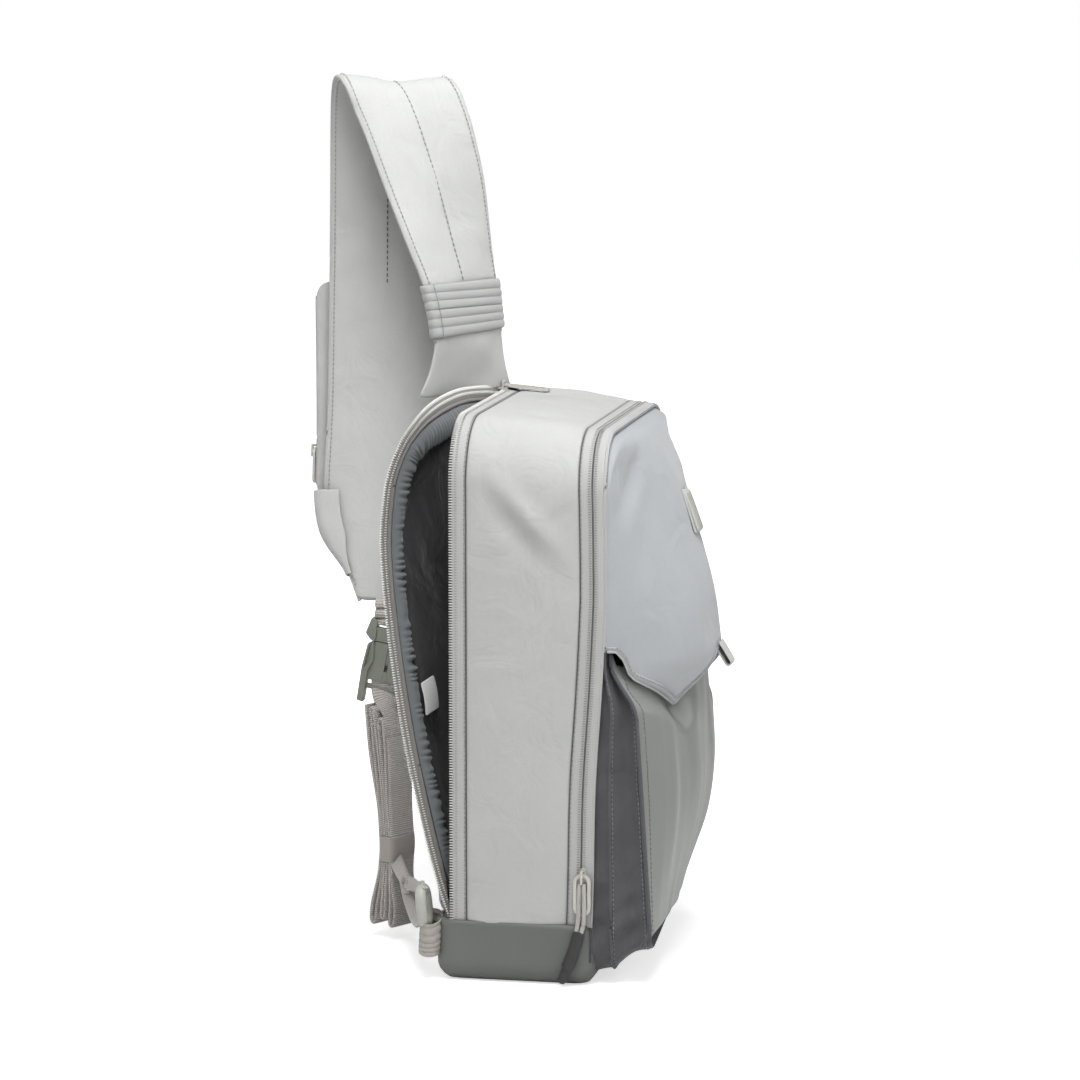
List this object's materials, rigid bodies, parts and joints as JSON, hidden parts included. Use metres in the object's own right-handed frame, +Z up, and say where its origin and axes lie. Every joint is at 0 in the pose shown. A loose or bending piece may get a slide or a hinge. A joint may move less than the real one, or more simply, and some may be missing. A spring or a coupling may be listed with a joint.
{
  "type": "sling bag",
  "caption": "Grey one-strap sling bag with a side-opening laptop compartment, domed flap over a front pocket, and folded webbing on a buckle.",
  "frame": {"origin": "middle of the base's resting face", "axes": "+Z up, the flap and front pocket face -Y, the strap is behind at +Y, the laptop opening is on the -X side"},
  "size_m": [0.27, 0.3383, 0.6605],
  "materials": {
    "light_cloth": "woven polyester, matte with a faint sheen",
    "hood_cloth": "woven polyester, cooler grey",
    "coated_cloth": "rubberised fabric, satin",
    "pocket_cloth": "plain woven nylon, matte",
    "pocket_coat": "coated fabric with a soft sheen",
    "lining": "brushed lining, matte",
    "tape": "zip tape, ribbed weave",
    "coil": "nylon coil",
    "webbing": "woven webbing with dark flecks",
    "foam": "closed-cell foam",
    "board": "stiff base board",
    "buckle": "acetal, satin",
    "plate": "moulded, satin",
    "puller": "painted zinc, satin",
    "cord": "braided cord",
    "tip": "moulded rubber",
    "magnet": "plated snap",
    "label": "satin label, blank"
  },
  "bodies": {
    "bag": {"gusset": "light_cloth", "base_panel": "coated_cloth", "base_board": "board", "laptop_divider": "lining", "divider_pad": "lining", "hinge_gusset": "light_cloth", "back_panel": "light_cloth", "back_foam": "foam", "inner_zip_tape": "tape", "inner_zip_coil": "coil", "laptop_zip_tape": "tape", "laptop_zip_coil": "coil", "anchor_sleeve": "tape", "anchor_loop": "webbing"},
    "front_door": {"front_panel": "hood_cloth", "outer_zip_tape": "tape", "outer_zip_coil": "coil", "pocket_gusset": "pocket_cloth", "pocket_front": "pocket_coat", "pocket_hem": "pocket_coat", "pocket_magnet": "magnet", "front_hood": "hood_cloth", "name_plate": "plate"},
    "flap": {"flap": "hood_cloth", "flap_binding": "hood_cloth", "flap_magnet": "magnet", "pull_tab": "hood_cloth"},
    "main_slider": {"main_slider": "puller"},
    "main_pull": {"main_pull_ring": "puller", "main_pull_cord": "cord", "main_pull_tip": "tip"},
    "laptop_slider": {"laptop_slider": "puller"},
    "laptop_pull": {"laptop_pull": "puller"},
    "laptop_door": {"laptop_door": "light_cloth", "door_foam": "foam", "door_lining": "lining", "door_zip_tape": "tape", "door_zip_coil": "coil", "care_label": "label", "strap_yoke": "light_cloth", "yoke_foam": "foam"},
    "strap": {"strap_cover": "light_cloth", "strap_foam": "foam", "strap_sleeve": "tape", "strap_pocket": "light_cloth", "pocket_zip_coil": "coil", "upper_webbing": "webbing", "buckle_plug": "buckle", "buckle_arms": "buckle", "webbing_tail": "webbing", "anchor_ring": "plate"},
    "pocket_slider": {"pocket_slider": "puller"},
    "pocket_pull": {"pocket_pull": "puller"},
    "webbing": {"buckle_socket": "buckle", "webbing_bundle": "webbing", "webbing_lead": "webbing"},
    "keeper": {"webbing_keeper": "webbing"}
  },
  "joints": [
    {"name": "front_open", "type": "hinge", "parent": "bag", "child": "front_door", "pos_m": [0, -0.05, 0.012], "axis": [1, 0, 0], "range_deg": [0, 16]},
    {"name": "flap_lift", "type": "hinge", "parent": "front_door", "child": "flap", "pos_m": [0, -0.129, 0.254], "axis": [-1, 0, 0], "range_deg": [0, 80]},
    {"name": "main_zip_slide", "type": "slide", "parent": "bag", "child": "main_slider", "axis": [0, -0.0408, 0.9992], "range_m": [0, 0.19]},
    {"name": "main_pull_swing", "type": "hinge", "parent": "main_slider", "child": "main_pull", "pos_m": [-0.13375, -0.04409, 0.0852], "axis": [0, 1, 0], "range_deg": [0, 120]},
    {"name": "laptop_zip_slide", "type": "slide", "parent": "bag", "child": "laptop_slider", "axis": [1, 0, 0], "range_m": [-0.14, 0]},
    {"name": "laptop_pull_swing", "type": "hinge", "parent": "laptop_slider", "child": "laptop_pull", "pos_m": [0.068, 0.05642, 0.42874], "axis": [-1, 0, 0], "range_deg": [0, 80]},
    {"name": "laptop_door_open", "type": "hinge", "parent": "bag", "child": "laptop_door", "pos_m": [-0.128, 0.076, 0.03], "axis": [-0.4657, 0.0407, -0.884], "range_deg": [-16, 8]},
    {"name": "strap_swing", "type": "hinge", "parent": "laptop_door", "child": "strap", "pos_m": [-0.126, 0.079, 0.059], "axis": [0.3556, 0.0102, 0.9346], "range_deg": [-8, 35]},
    {"name": "pocket_zip_slide", "type": "slide", "parent": "strap", "child": "pocket_slider", "axis": [0.1564, 0, 0.9877], "range_m": [-0.008, 0.1]},
    {"name": "pocket_pull_swing", "type": "hinge", "parent": "pocket_slider", "child": "pocket_pull", "pos_m": [0.05883, 0.2056, 0.37317], "axis": [0.9877, 0, -0.1564], "range_deg": [0, 110]},
    {"name": "buckle_release", "type": "slide", "parent": "strap", "child": "webbing", "axis": [0, 0.1045, -0.9945], "range_m": [0, 0.03], "deforming": ["buckle_arms"]},
    {"name": "keeper_slide", "type": "slide", "parent": "webbing", "child": "keeper", "axis": [0, 0, 1], "range_m": [-0.03, 0.06]}
  ]
}
